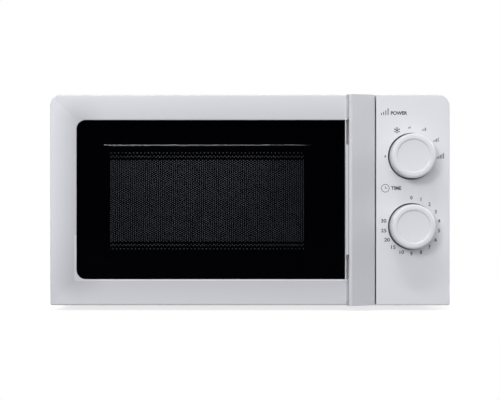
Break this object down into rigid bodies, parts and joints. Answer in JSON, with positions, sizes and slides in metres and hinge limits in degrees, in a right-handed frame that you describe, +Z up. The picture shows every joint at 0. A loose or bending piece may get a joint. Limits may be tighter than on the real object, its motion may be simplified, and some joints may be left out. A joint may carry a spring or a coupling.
{
  "type": "microwave oven",
  "caption": "Countertop microwave oven with a side-hinged window door, two dials, a turntable on a roller ring and its inner works.",
  "frame": {"origin": "on the supporting surface, under the centre of the bounding box", "axes": "+Z up, the door and the dials face -Y, +X to the right as seen from the front"},
  "size_m": [0.452, 0.345, 0.244],
  "materials": {
    "white_plastic": "satin moulded",
    "knob_plastic": "satin moulded",
    "cabinet_paint": "satin powder coat",
    "cavity_enamel": "semi-gloss enamel",
    "window_glass": "dark tinted, polished",
    "screen_paint": "black enamel",
    "clear_film": "clear film",
    "dark_plastic": "fine texture",
    "grey_plastic": "fine texture",
    "natural_plastic": "fine texture",
    "plate_glass": "clear, polished",
    "zinc_steel": "zinc plated",
    "core_steel": "laminated, oiled",
    "copper_winding": "enamelled wire",
    "ferrite": "sintered",
    "aluminium": "bright",
    "copper_metal": "bright",
    "mica": "layered mica",
    "rubber": "matt",
    "board": "printed board",
    "screw_steel": "plated"
  },
  "bodies": {
    "cabinet": {"air_duct": "grey_plastic", "base_plate": "zinc_steel", "capacitor": "aluminium", "capacitor_clamp": "zinc_steel", "cavity_box": "cavity_enamel", "control_panel": "white_plastic", "cord_gland": "rubber", "cover_screws": "screw_steel", "fan_motor": "core_steel", "fan_shroud": "grey_plastic", "feet": "rubber", "filter_bracket": "zinc_steel", "front_plate": "cabinet_paint", "hinge_brackets": "zinc_steel", "hv_diode": "dark_plastic", "interlock_switches": "dark_plastic", "lamp_bulb": "plate_glass", "lamp_socket": "natural_plastic", "latch_board": "natural_plastic", "line_fuse": "plate_glass", "magnetron_anode": "copper_metal", "magnetron_fins": "aluminium", "magnetron_magnets": "ferrite", "magnetron_yoke": "zinc_steel", "noise_filter_board": "board", "outer_cover": "cabinet_paint", "power_selector": "dark_plastic", "rear_panel": "cabinet_paint", "thermal_cutout": "dark_plastic", "timer_bell": "zinc_steel", "timer_unit": "dark_plastic", "transformer_core": "core_steel", "transformer_windings": "copper_winding", "turntable_motor": "zinc_steel", "waveguide": "zinc_steel", "waveguide_cover": "mica"},
    "door": {"door_frame": "white_plastic", "door_grip": "white_plastic", "door_glass": "window_glass", "door_screen": "screen_paint", "screen_mesh": "screen_paint", "inner_film": "clear_film", "choke_cover": "dark_plastic", "door_screws": "screw_steel", "latch_spring": "zinc_steel"},
    "latch": {"latch_lever": "natural_plastic"},
    "power_dial": {"power_knob": "knob_plastic", "power_shaft": "zinc_steel"},
    "timer_dial": {"timer_knob": "knob_plastic", "timer_shaft": "zinc_steel"},
    "coupler": {"drive_coupler": "natural_plastic"},
    "plate": {"glass_plate": "plate_glass"},
    "ring": {"roller_ring": "natural_plastic"},
    "roller_1_wheel": {"roller_1": "natural_plastic"},
    "roller_2_wheel": {"roller_2": "natural_plastic"},
    "roller_3_wheel": {"roller_3": "natural_plastic"},
    "fan": {"fan_rotor": "zinc_steel", "fan_blades": "grey_plastic"},
    "plunger_1": {"switch_plunger_1": "natural_plastic"},
    "plunger_2": {"switch_plunger_2": "natural_plastic"}
  },
  "joints": [
    {"name": "door_hinge", "type": "hinge", "parent": "cabinet", "child": "door", "pos_m": [-0.217, -0.134, 0.125], "axis": [0, 0, -1], "range_deg": [0, 100]},
    {"name": "latch_slide", "type": "slide", "parent": "door", "child": "latch", "axis": [0, 0, 1], "range_m": [-0.004, 0], "stiffness_N_per_m": 200, "springref_m": 0.004, "deforming": ["latch_spring"]},
    {"name": "power_knob_turn", "type": "hinge", "parent": "cabinet", "child": "power_dial", "pos_m": [0.1826, -0.16, 0.1744], "axis": [0, 1, 0], "range_deg": [-90, 90]},
    {"name": "timer_knob_turn", "type": "hinge", "parent": "cabinet", "child": "timer_dial", "pos_m": [0.1826, -0.16, 0.0951], "axis": [0, 1, 0], "range_deg": [0, 290]},
    {"name": "turntable_spin", "type": "hinge", "parent": "cabinet", "child": "coupler", "pos_m": [-0.0445, 0.0195, 0.031], "axis": [0, 0, 1], "continuous": true},
    {"name": "plate_lift", "type": "slide", "parent": "coupler", "child": "plate", "axis": [0, 0, 1], "range_m": [0, 0.05]},
    {"name": "roller_ring_spin", "type": "hinge", "parent": "cabinet", "child": "ring", "pos_m": [-0.0445, 0.0195, 0.039], "axis": [0, 0, 1], "continuous": true},
    {"name": "fan_spin", "type": "hinge", "parent": "cabinet", "child": "fan", "pos_m": [0.1685, 0.1385, 0.139], "axis": [0, 1, 0], "continuous": true},
    {"name": "roller_1_spin", "type": "hinge", "parent": "ring", "child": "roller_1_wheel", "pos_m": [0.0475, 0.0195, 0.039], "axis": [1, 0, 0], "continuous": true},
    {"name": "roller_2_spin", "type": "hinge", "parent": "ring", "child": "roller_2_wheel", "pos_m": [-0.0905, 0.09917, 0.039], "axis": [-0.5, 0.866, 0], "continuous": true},
    {"name": "roller_3_spin", "type": "hinge", "parent": "ring", "child": "roller_3_wheel", "pos_m": [-0.0905, -0.06017, 0.039], "axis": [-0.5, -0.866, 0], "continuous": true},
    {"name": "switch_plunger_1_press", "type": "slide", "parent": "cabinet", "child": "plunger_1", "axis": [0, 1, 0], "range_m": [0, 0.0015], "stiffness_N_per_m": 100, "springref_m": -0.003},
    {"name": "switch_plunger_2_press", "type": "slide", "parent": "cabinet", "child": "plunger_2", "axis": [0, 1, 0], "range_m": [0, 0.0015], "stiffness_N_per_m": 100, "springref_m": -0.003}
  ],
  "couplings": [
    {"joint": "roller_ring_spin", "follows": "turntable_spin", "ratio": 0.5},
    {"joint": "roller_1_spin", "follows": "turntable_spin", "ratio": -5.974},
    {"joint": "roller_2_spin", "follows": "turntable_spin", "ratio": -5.974},
    {"joint": "roller_3_spin", "follows": "turntable_spin", "ratio": -5.974}
  ]
}
